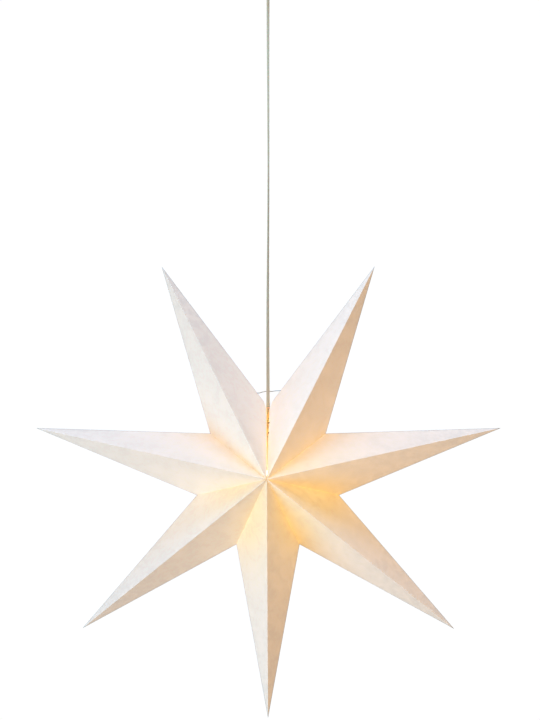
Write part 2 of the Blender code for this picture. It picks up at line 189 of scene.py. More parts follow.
# ---------------------------------------------------------------- node helpers
class Bench:
    """Adds and joins shader nodes in one tree."""

    def __init__(self, tree: bpy.types.NodeTree) -> None:
        """Start with an empty row of nodes.

        Args:
            tree: the node tree to work in.
        """
        self.tree = tree
        self.column = 0

    def add(self, kind: str, **values: object) -> bpy.types.Node:
        """Add one node.

        Args:
            kind: the node's Blender type.
            values: attributes to set on it.

        Returns:
            The new node.
        """
        node = self.tree.nodes.new(kind)
        node.location = (self.column * 180, -(self.column % 4) * 160)
        self.column += 1
        for key, value in values.items():
            setattr(node, key, value)
        return node

    def join(self, a: bpy.types.NodeSocket, b: bpy.types.NodeSocket) -> None:
        """Link output a to input b."""
        self.tree.links.new(a, b)

    def feed(self, socket: bpy.types.NodeSocket, value: object) -> None:
        """Give an input a value, or link it if the value is a socket.

        Args:
            socket: the input.
            value: number, colour or output socket.
        """
        if isinstance(value, bpy.types.NodeSocket):
            self.join(value, socket)
        else:
            socket.default_value = value

    def math(self, how: str, a: object, b: object = 0.0, clamp: bool = False) -> bpy.types.NodeSocket:
        """One Math node.

        Args:
            how: its operation.
            a: first number or socket.
            b: second number or socket.
            clamp: keep the result from 0 to 1.

        Returns:
            Its output.
        """
        node = self.add("ShaderNodeMath", operation=how, use_clamp=clamp)
        self.feed(node.inputs[0], a)
        self.feed(node.inputs[1], b)
        return node.outputs[0]

    def spread(self, value: object, low: float, high: float, to_low: float = 0.0,
               to_high: float = 1.0) -> bpy.types.NodeSocket:
        """Smoothly map low..high to to_low..to_high, held at both ends.

        Args:
            value: number or socket to map.
            low: where the map begins.
            high: where it ends.
            to_low: result at low.
            to_high: result at high.

        Returns:
            The mapped output.
        """
        node = self.add("ShaderNodeMapRange", interpolation_type="SMOOTHSTEP")
        for name, number in (("From Min", low), ("From Max", high), ("To Min", to_low), ("To Max", to_high)):
            node.inputs[name].default_value = number
        self.feed(node.inputs["Value"], value)
        return node.outputs["Result"]

    def mix(self, share: object, a: object, b: object) -> bpy.types.NodeSocket:
        """Mix two colours.

        Args:
            share: how much of b, from 0 to 1.
            a: first colour or socket.
            b: second colour or socket.

        Returns:
            The mixed colour.
        """
        node = self.add("ShaderNodeMix", data_type="RGBA", blend_type="MIX")
        self.feed(node.inputs[0], share)
        self.feed(node.inputs[6], (*a, 1) if isinstance(a, tuple) else a)
        self.feed(node.inputs[7], (*b, 1) if isinstance(b, tuple) else b)
        return node.outputs[2]

    def noise(self, place: bpy.types.NodeSocket, scale: object, detail: float = 3.0, rough: float = 0.5,
              twist: float = 0.0) -> bpy.types.NodeSocket:
        """Soft random clouds.

        Args:
            place: coordinates.
            scale: how fine.
            detail: layers.
            rough: strength of the finer layers.
            twist: distortion.

        Returns:
            The noise value.
        """
        node = self.add("ShaderNodeTexNoise")
        self.join(place, node.inputs["Vector"])
        self.feed(node.inputs["Scale"], scale)
        node.inputs["Detail"].default_value = detail
        node.inputs["Roughness"].default_value = rough
        node.inputs["Distortion"].default_value = twist
        return node.outputs["Fac"]

    def stretch(self, place: bpy.types.NodeSocket, turn: tuple[float, float, float],
                scale: tuple[float, float, float]) -> bpy.types.NodeSocket:
        """Turn and stretch coordinates, for threads and brush lines.

        Args:
            place: coordinates.
            turn: angles about X, Y and Z, in radians.
            scale: stretch along X, Y and Z; a small one gives a long line.

        Returns:
            The new coordinates.
        """
        node = self.add("ShaderNodeMapping")
        self.join(place, node.inputs["Vector"])
        node.inputs["Rotation"].default_value = turn
        node.inputs["Scale"].default_value = scale
        return node.outputs["Vector"]

    def place(self) -> bpy.types.NodeSocket:
        """The piece's own coordinates, which move with it."""
        return self.add("ShaderNodeTexCoord").outputs["Object"]

    def stored(self, name: str) -> bpy.types.NodeSocket:
        """A value stored on the mesh under that name."""
        return self.add("ShaderNodeAttribute", attribute_name=name).outputs["Fac"]


class Effects:
    """Surface effects that several finishes share, each a node group built once."""

    def __init__(self) -> None:
        """Start with no groups."""
        self.made: dict[str, bpy.types.NodeTree] = {}

    def group(self, name: str, inputs: Sequence[tuple[str, str, object]], outputs: Sequence[tuple[str, str]],
              fill: Callable[[Bench, bpy.types.Node, bpy.types.Node], None]) -> bpy.types.NodeTree:
        """Build a node group, or return it if it's there.

        Args:
            name: the group's name.
            inputs: name, socket type and default of each input.
            outputs: name and socket type of each output.
            fill: adds the inner nodes.

        Returns:
            The node group.
        """
        if name in self.made:
            return self.made[name]
        tree = bpy.data.node_groups.new(name, "ShaderNodeTree")
        for label, kind, default in inputs:
            socket = tree.interface.new_socket(name=label, in_out="INPUT", socket_type=kind)
            if default is not None:
                socket.default_value = default
        for label, kind in outputs:
            tree.interface.new_socket(name=label, in_out="OUTPUT", socket_type=kind)
        bench = Bench(tree)
        fill(bench, bench.add("NodeGroupInput"), bench.add("NodeGroupOutput"))
        self.made[name] = tree
        return tree

    def use(self, bench: Bench, tree: bpy.types.NodeTree, **values: object) -> bpy.types.Node:
        """Place a group in a material.

        Args:
            bench: the material's bench.
            tree: the node group.
            values: its inputs, with _ for a space.

        Returns:
            The group node.
        """
        node = bench.add("ShaderNodeGroup", node_tree=tree)
        for key, value in values.items():
            bench.feed(node.inputs[key.replace("_", " ")], value)
        return node

    def fibres(self) -> bpy.types.NodeTree:
        """Long fibres and cloudy thick and thin places, as in hand-laid paper.

        Returns:
            The node group.
        """

        def fill(b: Bench, start: bpy.types.Node, end: bpy.types.Node) -> None:
            """Lay three crossing sets of fibres over soft clouds.

            Args:
                b: the group's bench.
                start: the group's input node.
                end: the group's output node.
            """
            place, fine = start.outputs["Place"], start.outputs["Fineness"]
            cloud = b.noise(place, b.math("MULTIPLY", fine, 55.0), 4.0, 0.65, 0.7)
            patch = b.noise(place, b.math("MULTIPLY", fine, 150.0), 3.0, 0.6, 0.5)
            strands = None
            for turn, scale in (((0.2, 0.5, 0.3), (1.0, 0.16, 0.22)), ((0.9, 1.9, 1.2), (0.18, 1.0, 0.2)),
                                ((2.1, 0.7, 2.4), (0.2, 0.24, 1.0))):
                along = b.stretch(place, turn, scale)
                thread = b.noise(along, b.math("MULTIPLY", fine, 420.0), 2.0, 0.5, 1.6)
                line = b.math("ABSOLUTE", b.math("SUBTRACT", thread, 0.5))
                line = b.spread(line, 0.0, 0.035, 1.0, 0.0)
                strands = line if strands is None else b.math("MAXIMUM", strands, line)
            soft = b.math("MULTIPLY", strands, start.outputs["Strands"])
            thick = b.math("ADD", b.math("MULTIPLY", cloud, 0.5), b.math("MULTIPLY", patch, 0.5))
            dense = b.spread(thick, 0.38, 0.62)
            dense = b.math("ADD", dense, b.math("MULTIPLY", soft, 0.35), clamp=True)
            grit = b.noise(place, 1500.0, 2.0, 0.6)
            height = b.math("ADD", b.math("MULTIPLY", soft, 0.5), b.math("MULTIPLY", grit, 0.35))
            height = b.math("ADD", height, b.math("MULTIPLY", thick, 0.4))
            b.join(dense, end.inputs["Dense"])
            b.join(soft, end.inputs["Strand"])
            b.join(height, end.inputs["Height"])

        return self.group("paper_fibres",
                          [("Place", "NodeSocketVector", None), ("Fineness", "NodeSocketFloat", 1.0),
                           ("Strands", "NodeSocketFloat", 0.6)],
                          [("Dense", "NodeSocketFloat"), ("Strand", "NodeSocketFloat"),
                           ("Height", "NodeSocketFloat")], fill)

    def wear(self) -> bpy.types.NodeTree:
        """Handling marks: soft smudges, fine scratches and a little settled dust.

        Returns:
            The node group.
        """

        def fill(b: Bench, start: bpy.types.Node, end: bpy.types.Node) -> None:
            """Lay smudges, scratches and dust.

            Args:
                b: the group's bench.
                start: the group's input node.
                end: the group's output node.
            """
            place = start.outputs["Place"]
            smudge = b.spread(b.noise(place, 90.0, 4.0, 0.6, 0.8), 0.42, 0.68)
            scratch = b.noise(b.stretch(place, (0.4, 0.9, 0.2), (1.0, 0.05, 1.0)), 1400.0, 1.0)
            scratch = b.spread(b.math("ABSOLUTE", b.math("SUBTRACT", scratch, 0.5)), 0.0, 0.012, 1.0, 0.0)
            scratch = b.math("MULTIPLY", scratch, smudge)
            up = b.add("ShaderNodeSeparateXYZ")
            b.join(b.add("ShaderNodeNewGeometry").outputs["Normal"], up.inputs[0])
            dust = b.math("MULTIPLY", b.spread(up.outputs[2], 0.25, 1.0), b.noise(place, 320.0, 3.0, 0.7))
            b.join(b.math("MULTIPLY", smudge, start.outputs["Amount"]), end.inputs["Smudge"])
            b.join(b.math("MULTIPLY", scratch, start.outputs["Amount"]), end.inputs["Scratch"])
            b.join(b.math("MULTIPLY", dust, start.outputs["Dust"]), end.inputs["Dust"])

        return self.group("handling_wear",
                          [("Place", "NodeSocketVector", None), ("Amount", "NodeSocketFloat", 0.5),
                           ("Dust", "NodeSocketFloat", 0.3)],
                          [("Smudge", "NodeSocketFloat"), ("Scratch", "NodeSocketFloat"),
                           ("Dust", "NodeSocketFloat")], fill)

    def drawn_lines(self) -> bpy.types.NodeTree:
        """Fine lines that run the way a wire was drawn or a part was turned.

        Returns:
            The node group.
        """

        def fill(b: Bench, start: bpy.types.Node, end: bpy.types.Node) -> None:
            """Stretch fine noise along the working direction.

            Args:
                b: the group's bench.
                start: the group's input node.
                end: the group's output node.
            """
            line = b.noise(b.stretch(start.outputs["Place"], (0.0, 0.0, 0.0), (0.08, 1.0, 1.0)), 2600.0, 2.0)
            b.join(b.math("MULTIPLY", line, start.outputs["Amount"]), end.inputs["Line"])

        return self.group("drawn_lines",
                          [("Place", "NodeSocketVector", None), ("Amount", "NodeSocketFloat", 0.5)],
                          [("Line", "NodeSocketFloat")], fill)


# ---------------------------------------------------------------- finishes
def new_material(name: str) -> tuple[bpy.types.Material, Bench, bpy.types.Node]:
    """A fresh material.

    Args:
        name: its name.

    Returns:
        The material, a bench on its tree and its Principled shader.
    """
    mat = bpy.data.materials.new(name)
    mat.use_nodes = True
    return mat, Bench(mat.node_tree), mat.node_tree.nodes["Principled BSDF"]


@dataclass(frozen=True)
class LampPaper:
    """White fibre paper that a warm lamp shines through from behind.

    Attributes:
        sheet: the thin places of the paper.
        shaded: its dense places.
        painted_lamp_tint: the paper nearest the lamp.
        crease: painted highlight, a whiter colour along each ridge.
        painted_rim_shade: painted shade, a grey line along the outline.
        painted_tint_range: how much lamp light starts and completes the painted warm tint.
        painted_tint_share: how far the painted warm tint goes at most.
        ridge_highlight_share: how white the painted ridge highlight goes.
        rim_shade_share: how grey the painted rim shade goes.
        through: lamp light that comes straight through.
        bounced: lamp light that has bounced about inside first.
        strength: strength of both.
        fineness: how fine the fibres are.
        thin_glow: glow of the thinnest paper.
        dense_loss: how much of it the densest paper holds back.
        rim_loss: how much of it is held back along the rim, as part of the painted rim shade.
        valley_gain: extra light along a valley, where the paper is stretched.
        valley_line: where that extra light starts and stops fading, from the crease.
        ridge_line: the same for the rubbed ridge.
        rim_line: the same for the folded rim.
    """

    sheet: Colour = (0.88, 0.875, 0.865)
    shaded: Colour = (0.835, 0.82, 0.80)
    painted_lamp_tint: Colour = (0.86, 0.68, 0.42)
    crease: Colour = (0.97, 0.965, 0.94)
    painted_rim_shade: Colour = (0.42, 0.40, 0.37)
    painted_tint_range: tuple[float, float] = (0.05, 0.75)
    painted_tint_share: float = 0.6
    ridge_highlight_share: float = 0.55
    rim_shade_share: float = 0.6
    through: Colour = (0.095, 0.104, 0.05)
    bounced: Colour = (0.432, 0.19, 0.0)
    strength: float = 1.0
    fineness: float = 1.0
    thin_glow: float = 1.12
    dense_loss: float = 0.26
    rim_loss: float = 0.9
    valley_gain: float = 0.30
    valley_line: tuple[float, float] = (0.0004, 0.0026)
    ridge_line: tuple[float, float] = (0.0002, 0.0011)
    rim_line: tuple[float, float] = (0.0003, 0.0016)

    def glow(self, b: Bench, dense: bpy.types.NodeSocket, rim: bpy.types.NodeSocket) -> bpy.types.NodeSocket:
        """Lamp light that comes through the sheet: straight from the bulb, and bounced about inside.

        Args:
            b: the material's bench.
            dense: how dense the paper is, from 0 to 1.
            rim: 1 on the folded rim.

        Returns:
            The colour of the glow.
        """
        thin = b.math("SUBTRACT", self.thin_glow, b.math("MULTIPLY", dense, self.dense_loss))
        # Part of the painted rim shade: the glow is dimmed along the rim.
        thin = b.math("MULTIPLY", thin, b.math("SUBTRACT", 1.0, b.math("MULTIPLY", rim, self.rim_loss)))
        valley = b.spread(b.stored("valley"), *self.valley_line, 1.0, 0.0)
        direct = b.math("ADD", thin, b.math("MULTIPLY", valley, self.valley_gain))
        direct = b.math("MULTIPLY", b.stored("lamp"), direct)
        bounced = b.math("MULTIPLY", b.stored("bounce"), thin)
        parts = []
        for colour, level in ((self.through, direct), (self.bounced, bounced)):
            part = b.add("ShaderNodeVectorMath", operation="SCALE")
            part.inputs[0].default_value = colour
            b.join(level, part.inputs["Scale"])
            parts.append(part)
        total = b.add("ShaderNodeVectorMath", operation="ADD")
        for part, socket in zip(parts, total.inputs):
            b.join(part.outputs[0], socket)
        return total.outputs[0]

    def make(self, effects: Effects) -> bpy.types.Material:
        """Build the material.

        Args:
            effects: the shared node groups.

        Returns:
            The paper material.
        """
        mat, b, shader = new_material("lantern_paper")
        grain = effects.use(b, effects.fibres(), Place=b.place(), Fineness=self.fineness, Strands=0.55)
        dense = grain.outputs["Dense"]
        ridge_highlight = b.spread(b.stored("ridge"), *self.ridge_line, 1.0, 0.0)
        rim = b.spread(b.stored("rim"), *self.rim_line, 1.0, 0.0)
        base = b.mix(dense, self.sheet, self.shaded)
        # Painted lamp light: the base colour is mixed toward a warm tint where the lamp is near.
        lamp_tint = b.spread(b.stored("lamp"), *self.painted_tint_range, 0.0, self.painted_tint_share)
        base = b.mix(lamp_tint, base, self.painted_lamp_tint)
        # Painted highlight: the paper is mixed whiter along each ridge.
        base = b.mix(b.math("MULTIPLY", ridge_highlight, self.ridge_highlight_share), base, self.crease)
        # Painted shade: a grey line is mixed in along the outline.
        base = b.mix(b.math("MULTIPLY", rim, self.rim_shade_share), base, self.painted_rim_shade)
        b.join(base, shader.inputs["Base Color"])
        b.join(self.glow(b, dense, rim), shader.inputs["Emission Color"])
        shader.inputs["Emission Strength"].default_value = self.strength
        b.join(b.spread(grain.outputs["Height"], 0.0, 1.2, 0.78, 0.93), shader.inputs["Roughness"])
        shader.inputs["Specular IOR Level"].default_value = 0.28
        width = b.math("ADD", b.stored("ridge"), b.stored("rim"))
        grit = b.add("ShaderNodeBump")
        b.join(b.spread(width, 0.004, 0.016, 0.03, 0.18), grit.inputs["Strength"])
        grit.inputs["Distance"].default_value = 0.0006
        b.join(grain.outputs["Height"], grit.inputs["Height"])
        pinch = b.add("ShaderNodeBump")
        b.join(b.spread(width, 0.002, 0.010, 0.0, 0.6), pinch.inputs["Strength"])
        pinch.inputs["Distance"].default_value = 0.0005
        b.join(b.spread(b.stored("ridge"), 0.0, 0.0022, 1.0, 0.0), pinch.inputs["Height"])
        b.join(grit.outputs[0], pinch.inputs["Normal"])
        b.join(pinch.outputs[0], shader.inputs["Normal"])
        return mat


@dataclass(frozen=True)
class InsidePaper:
    """The same paper on the inside of the star, with warm lamp light painted into its colour."""

    # Painted lamp light: the inside paper is coloured warm orange.
    sheet: Colour = (0.84, 0.74, 0.52)
    shaded: Colour = (0.76, 0.65, 0.43)

    def make(self, effects: Effects) -> bpy.types.Material:
        """Build the material.

        Args:
            effects: the shared node groups.

        Returns:
            The inside paper material.
        """
        mat, b, shader = new_material("lantern_paper_inside")
        grain = effects.use(b, effects.fibres(), Place=b.place(), Fineness=1.0, Strands=0.55)
        b.join(b.mix(grain.outputs["Dense"], self.sheet, self.shaded), shader.inputs["Base Color"])
        b.join(b.spread(grain.outputs["Height"], 0.0, 1.2, 0.80, 0.95), shader.inputs["Roughness"])
        shader.inputs["Specular IOR Level"].default_value = 0.25
        bump = b.add("ShaderNodeBump")
        bump.inputs["Strength"].default_value = 0.2
        bump.inputs["Distance"].default_value = 0.0006
        b.join(grain.outputs["Height"], bump.inputs["Height"])
        b.join(bump.outputs[0], shader.inputs["Normal"])
        return mat


@dataclass(frozen=True)
class Plastic:
    """Moulded plastic or rubber with light handling wear."""

    name: str
    colour: Colour
    rough: float = 0.34
    wear: float = 0.4
    dust: float = 0.25
    coat: float = 0.0
    soft: float = 0.0

    def make(self, effects: Effects) -> bpy.types.Material:
        """Build the material.

        Args:
            effects: the shared node groups.

        Returns:
            The plastic material.
        """
        mat, b, shader = new_material(self.name)
        place = b.place()
        marks = effects.use(b, effects.wear(), Place=place, Amount=self.wear, Dust=self.dust)
        dark = tuple(c * 0.86 for c in self.colour)
        base = b.mix(b.math("MULTIPLY", marks.outputs["Smudge"], 0.35), self.colour, dark)
        base = b.mix(b.math("MULTIPLY", marks.outputs["Dust"], 0.5), base, DUST)
        b.join(base, shader.inputs["Base Color"])
        rough = b.math("ADD", b.math("MULTIPLY", marks.outputs["Smudge"], 0.16), self.rough)
        rough = b.math("ADD", rough, b.math("MULTIPLY", marks.outputs["Dust"], 0.25), clamp=True)
        b.join(rough, shader.inputs["Roughness"])
        shader.inputs["Coat Weight"].default_value = self.coat
        if self.soft:
            shader.inputs["Subsurface Weight"].default_value = self.soft
            shader.inputs["Subsurface Scale"].default_value = 0.001
        bump = b.add("ShaderNodeBump")
        bump.inputs["Strength"].default_value = 0.12
        bump.inputs["Distance"].default_value = 0.0002
        height = b.math("SUBTRACT", b.noise(place, 900.0, 3.0, 0.6), marks.outputs["Scratch"])
        b.join(height, bump.inputs["Height"])
        b.join(bump.outputs[0], shader.inputs["Normal"])
        return mat


@dataclass(frozen=True)
class Metal:
    """Bare or plated metal with drawn lines, smudges and dulled patches."""

    name: str
    colour: Colour
    rough: float = 0.28
    wear: float = 0.5
    lines: float = 0.5

    def make(self, effects: Effects) -> bpy.types.Material:
        """Build the material.

        Args:
            effects: the shared node groups.

        Returns:
            The metal material.
        """
        mat, b, shader = new_material(self.name)
        place = b.place()
        marks = effects.use(b, effects.wear(), Place=place, Amount=self.wear, Dust=0.2)
        drawn = effects.use(b, effects.drawn_lines(), Place=place, Amount=self.lines)
        dull = tuple(c * 0.72 for c in self.colour)
        base = b.mix(b.math("MULTIPLY", marks.outputs["Smudge"], 0.6), self.colour, dull)
        b.join(base, shader.inputs["Base Color"])
        shader.inputs["Metallic"].default_value = 1.0
        rough = b.math("ADD", b.math("MULTIPLY", drawn.outputs["Line"], 0.18), self.rough)
        rough = b.math("ADD", rough, b.math("MULTIPLY", marks.outputs["Smudge"], 0.18), clamp=True)
        b.join(rough, shader.inputs["Roughness"])
        bump = b.add("ShaderNodeBump")
        bump.inputs["Strength"].default_value = 0.15
        bump.inputs["Distance"].default_value = 0.0001
        b.join(b.math("SUBTRACT", drawn.outputs["Line"], marks.outputs["Scratch"]), bump.inputs["Height"])
        b.join(bump.outputs[0], shader.inputs["Normal"])
        return mat


@dataclass(frozen=True)
class LitGlass:
    """Opal bulb glass with the lamp burning behind it.

    Attributes:
        name: the material's name.
        colour: the glass itself.
        dusty: the glass where dust has baked on.
        light: colour of its light.
        strength: strength of its light.
    """

    name: str = "opal_glass_lit"
    colour: Colour = (0.93, 0.90, 0.84)
    dusty: Colour = (0.78, 0.75, 0.70)
    light: Colour = (1.0, 0.72, 0.15)
    strength: float = 48.0

    def make(self, effects: Effects) -> bpy.types.Material:
        """Build the material.

        Args:
            effects: the shared node groups.

        Returns:
            The glass material.
        """
        mat, b, shader = new_material(self.name)
        marks = effects.use(b, effects.wear(), Place=b.place(), Amount=0.3, Dust=0.4)
        base = b.mix(b.math("MULTIPLY", marks.outputs["Dust"], 0.4), self.colour, self.dusty)
        b.join(base, shader.inputs["Base Color"])
        rough = b.math("ADD", b.math("MULTIPLY", marks.outputs["Smudge"], 0.12), 0.12)
        b.join(rough, shader.inputs["Roughness"])
        shader.inputs["Emission Color"].default_value = (*self.light, 1)
        shader.inputs["Emission Strength"].default_value = self.strength
        return mat


# ---------------------------------------------------------------- mesh helpers
def add_object(name: str, data: bpy.types.ID) -> bpy.types.Object:
    """Put a mesh, light or camera in the scene.

    Args:
        name: the object's name.
        data: its mesh, light or camera.

    Returns:
        The new object.
    """
    obj = bpy.data.objects.new(name, data)
    bpy.context.scene.collection.objects.link(obj)
    return obj


def mesh_from(name: str, verts: Sequence[Vector], faces: Sequence[Sequence[int]],
              smooth: bool = True) -> bpy.types.Mesh:
    """A mesh from points and faces.

    Args:
        name: the mesh's name.
        verts: its points.
        faces: its faces, as point numbers.
        smooth: shade it smooth.

    Returns:
        The mesh.
    """
    mesh = bpy.data.meshes.new(name)
    mesh.from_pydata(verts, [], faces)
    mesh.polygons.foreach_set("use_smooth", [smooth] * len(mesh.polygons))
    mesh.update()
    return mesh


def smooth_route(route: Sequence[Sequence[float]], count: int, fineness: int = 24) -> list[Vector]:
    """Points at even spacing on a smooth curve.

    Args:
        route: points that the curve goes through.
        count: how many points to give.
        fineness: steps between two points of the route while it is measured.

    Returns:
        The points in order.
    """
    way = [Vector(p) for p in route]
    ends = [2 * way[0] - way[1]] + way + [2 * way[-1] - way[-2]]
    fine: list[Vector] = []
    for a, b, c, d in zip(ends, ends[1:], ends[2:], ends[3:]):
        for i in range(fineness):
            t = i / fineness
            fine.append(0.5 * (2 * b + (c - a) * t + (2 * a - 5 * b + 4 * c - d) * t * t
                               + (3 * b - a - 3 * c + d) * t ** 3))
    fine.append(way[-1])
    run = [0.0]
    for a, b in zip(fine, fine[1:]):
        run.append(run[-1] + (b - a).length)
    out, k = [], 0
    for i in range(count):
        want = run[-1] * i / (count - 1)
        while k < len(run) - 2 and run[k + 1] < want:
            k += 1
        out.append(fine[k].lerp(fine[k + 1], (want - run[k]) / max(run[k + 1] - run[k], 1e-12)))
    return out


def sweep(name: str, path: Sequence[Vector], section: Sequence[tuple[float, float]],
          turns: Callable[[float], float], across: Vector) -> bpy.types.Mesh:
    """Sweep a closed section along a path, turning it slowly, with closed ends.

    Args:
        name: the mesh's name.
        path: points of the middle line.
        section: points of the section, round its middle.
        turns: angle of the section at a share of the path, in radians.
        across: which way the section's first axis points.

    Returns:
        The mesh.
    """
    verts: list[Vector] = []
    for i, point in enumerate(path):
        ahead = (path[min(i + 1, len(path) - 1)] - path[max(i - 1, 0)]).normalized()
        u = (across - ahead * across.dot(ahead)).normalized()
        v = ahead.cross(u)
        a = turns(i / (len(path) - 1))
        for x, y in section:
            px, py = x * math.cos(a) - y * math.sin(a), x * math.sin(a) + y * math.cos(a)
            verts.append(point + u * px + v * py)
    n = len(section)
    faces: list[list[int]] = [list(reversed(range(n))), list(range(len(verts) - n, len(verts)))]
    for r in range(len(path) - 1):
        for i in range(n):
            k = (i + 1) % n
            faces.append([r * n + i, r * n + k, (r + 1) * n + k, (r + 1) * n + i])
    return mesh_from(name, verts, faces)


# ---------------------------------------------------------------- the star
@dataclass
class PaperStar:
    """Seven folded paper points round one middle, open along a seam at the top.

    Attributes:
        points: how many points.
        tip: distance of the tips from the middle.
        valley: distance of the valley corners from the middle.
        depth: distance of the front and back centres from the middle.
        paper: thickness of the sheet.
        seam: angle left open between the two top points.
        drop: how far the middle hangs below the ceiling.
        doorway: how far the seam's corners are cut back for the cord.
        wire_above: height of the hanger wire over the top valley corners.
        wire_tilt: how much higher its right end is.
        notch: radius of the notches that it lies in.
        notch_fade: how far into the sheet a notch still moves it.
        notch_room: the notch's depth in radii.
        notch_steps: steps along a notch.
        lamp_at: the lamp's centre from the middle.
        lamp_soft: softens the lamp's light close by.
        lamp_gain: brings that light to about 1 at the nearest paper.
        holder_shade: how much the lampholder hides straight above the lamp.
        bounce_reach: how far the bounced light goes before it fades.
        rows: rows of mesh along a facet.
        columns: columns across it.
        buckle: how far a facet bellies.
        buckle_bias: how much of that is outward on every facet.
        buckle_ends: how fast it flattens towards middle and tip.
        lamp_share: how well the lamp lights each point.
        pieces: the finished facets.
    """

    points: int = 7
    tip: float = 0.375
    valley: float = 0.115
    depth: float = 0.100
    paper: float = 0.0003
    seam: float = math.radians(2.4)
    drop: float = 0.840
    doorway: float = 0.0085
    wire_above: float = 0.0213
    wire_tilt: float = 0.0036
    notch: float = 0.0017
    notch_fade: float = 0.006
    notch_room: float = 1.15
    notch_steps: int = 8
    lamp_at: tuple[float, float, float] = (0.024, 0.0, -0.022)
    lamp_soft: float = 0.06
    lamp_gain: float = 0.012
    holder_shade: float = 0.75
    bounce_reach: float = 1.2
    rows: int = 44
    columns: int = 16
    buckle: float = 0.0009
    buckle_bias: float = 0.35
    buckle_ends: float = 1.3
    lamp_share: dict[str, float] = field(default_factory=lambda: {
        "bottom": 1.0, "low_right": 1.10, "mid_right": 1.15, "top_right": 1.05,
        "low_left": 0.88, "mid_left": 1.0, "top_left": 0.90})
    pieces: list[bpy.types.Object] = field(default_factory=list)

    @property
    def notch_reach(self) -> float:
        """Half the notch's length along the rim."""
        return self.notch * 1.25

    def middle(self) -> Vector:
        """The centre of the star."""
        return Vector((0.0, 0.0, -self.drop))

    def corner(self, radius: float, angle: float) -> Vector:
        """A point of the outline, by radius and angle."""
        return self.middle() + Vector((radius * math.cos(angle), 0, radius * math.sin(angle)))

    def step(self) -> float:
        """The angle from a tip to the next valley."""
        return (2 * math.pi - self.seam) / (2 * self.points)

    def build(self) -> None:
        """Fold all points, one facet at a time."""
        for side in Side:
            for j in range(self.points):
                low, high = (-math.pi / 2 + side.value * self.step() * k for k in (j, j + 1))
                tip_at, valley_at = (low, high) if j % 2 == 0 else (high, low)
                stem, half = "bottom", side.name.lower()
                if j > 0:
                    stem = f"{RANKS[(j - 1) // 2]}_{side.name.lower()}"
                    half = "lower" if j % 2 else "upper"
                for face in Face:
                    self.facet(stem, half, face, self.corner(self.tip, tip_at),
                               self.corner(self.valley, valley_at), j == self.points - 1)

    def rim_line(self, apex: Vector, tip: Vector, valley: Vector, last: bool) -> list[tuple[float, Vector]]:
        """The facet's far side, from apex to tip, as (share, point) stations.

        Args:
            apex: front or back centre.
            tip: the point's tip.
            valley: the valley corner.
            last: whether the facet borders the seam.

        Returns:
            Stations with a rising share from 0 to 1.
        """
        total = (valley - apex).length + (tip - valley).length
        bend = (valley - apex).length / total
        if not last:
            return [(0.0, apex), (bend, valley), (1.0, tip)]
        down = valley + (apex - valley).normalized() * self.doorway
        out = valley + (tip - valley).normalized() * self.doorway
        cut = self.doorway / total
        stations = [(0.0, apex), (bend - cut, down), (bend + cut, out)]
        notch = self.notch_at(tip, valley)
        for i in range(self.notch_steps + 1):
            along = -self.notch_reach * math.cos(math.pi * i / self.notch_steps)
            point = notch + (tip - valley).normalized() * along
            stations.append((bend + (point - valley).length / total, point))
        stations.append((1.0, tip))
        return stations

    def notch_at(self, tip: Vector, valley: Vector) -> Vector:
        """Where the hanger wire crosses a rim.

        Args:
            tip: the point's tip.
            valley: the valley corner.

        Returns:
            The place on the rim.
        """
        side = math.copysign(0.5, tip.x)
        height = self.middle().z + self.valley + self.wire_above + side * self.wire_tilt
        return valley.lerp(tip, (height - valley.z) / (tip.z - valley.z))

    def notched(self, point: Vector, tip: Vector, valley: Vector, apex: Vector) -> Vector:
        """Move a point of the sheet off the wire's notch, and those beside it a little.

        Args:
            point: where it would be without the notch.
            tip: the point's tip.
            valley: the valley corner.
            apex: front or back centre.

        Returns:
            Where it goes.
        """
        rim = (tip - valley).normalized()
        inward = (apex - valley) - rim * (apex - valley).dot(rim)
        inward.normalize()
        away = point - self.notch_at(tip, valley)
        along = away.dot(rim) / self.notch_reach
        soft = 1 - away.dot(inward) / self.notch_fade
        if abs(along) >= 1 or soft <= 0:
            return point
        return point + inward * self.notch * self.notch_room * math.sqrt(1 - along ** 2) * soft ** 2

    def facet(self, stem: str, half: str, face: Face, tip: Vector, valley: Vector, last: bool) -> None:
        """One facet as a fine sheet that bellies a little between its creases.

        Args:
            stem: which point it belongs to.
            half: which half of the point.
            face: front or back.
            tip: the point's tip.
            valley: the valley corner.
            last: whether it borders the seam.
        """
        name = f"{stem}_{face.name.lower()}_{half}"
        apex = self.middle() + Vector((0, face.value * self.depth, 0))
        out = (tip - apex).cross(valley - apex).normalized()
        if out.dot(apex - self.middle()) < 0:
            out.negate()
        stations = self.rim_line(apex, tip, valley, last)
        shares = sorted({i / self.rows for i in range(self.rows + 1)} | {s for s, _ in stations})
        rand = random.Random(SEED + sum(ord(c) for c in name))
        waves = [(rand.uniform(0.6, 2.6), rand.uniform(0, 6.28), rand.uniform(0.4, 1.0)) for _ in range(4)]
        hinge = apex if face is Face.FRONT else valley
        verts: list[Vector] = []
        for s in shares:
            near = apex.lerp(tip, s)
            k = max(i for i in range(len(stations)) if stations[i][0] <= s + 1e-12)
            if k == len(stations) - 1:
                far = stations[-1][1]
            else:
                (s0, p0), (s1, p1) = stations[k], stations[k + 1]
                far = p0.lerp(p1, (s - s0) / (s1 - s0))
            for c in range(self.columns + 1):
                u = c / self.columns
                u = 0.5 - 0.5 * math.cos(math.pi * u)
                belly = sum(w * math.sin(f * math.pi * s + p) for f, p, w in waves) / 2.4
                lift = self.buckle * (self.buckle_bias + belly) * math.sin(math.pi * u)
                lift *= math.sin(math.pi * s) ** self.buckle_ends
                spot = near.lerp(far, u)
                if last:
                    spot = self.notched(spot, tip, valley, apex)
                verts.append(spot + out * lift - hinge)
        wide = self.columns + 1
        faces = []
        for r in range(len(shares) - 1):
            for c in range(self.columns):
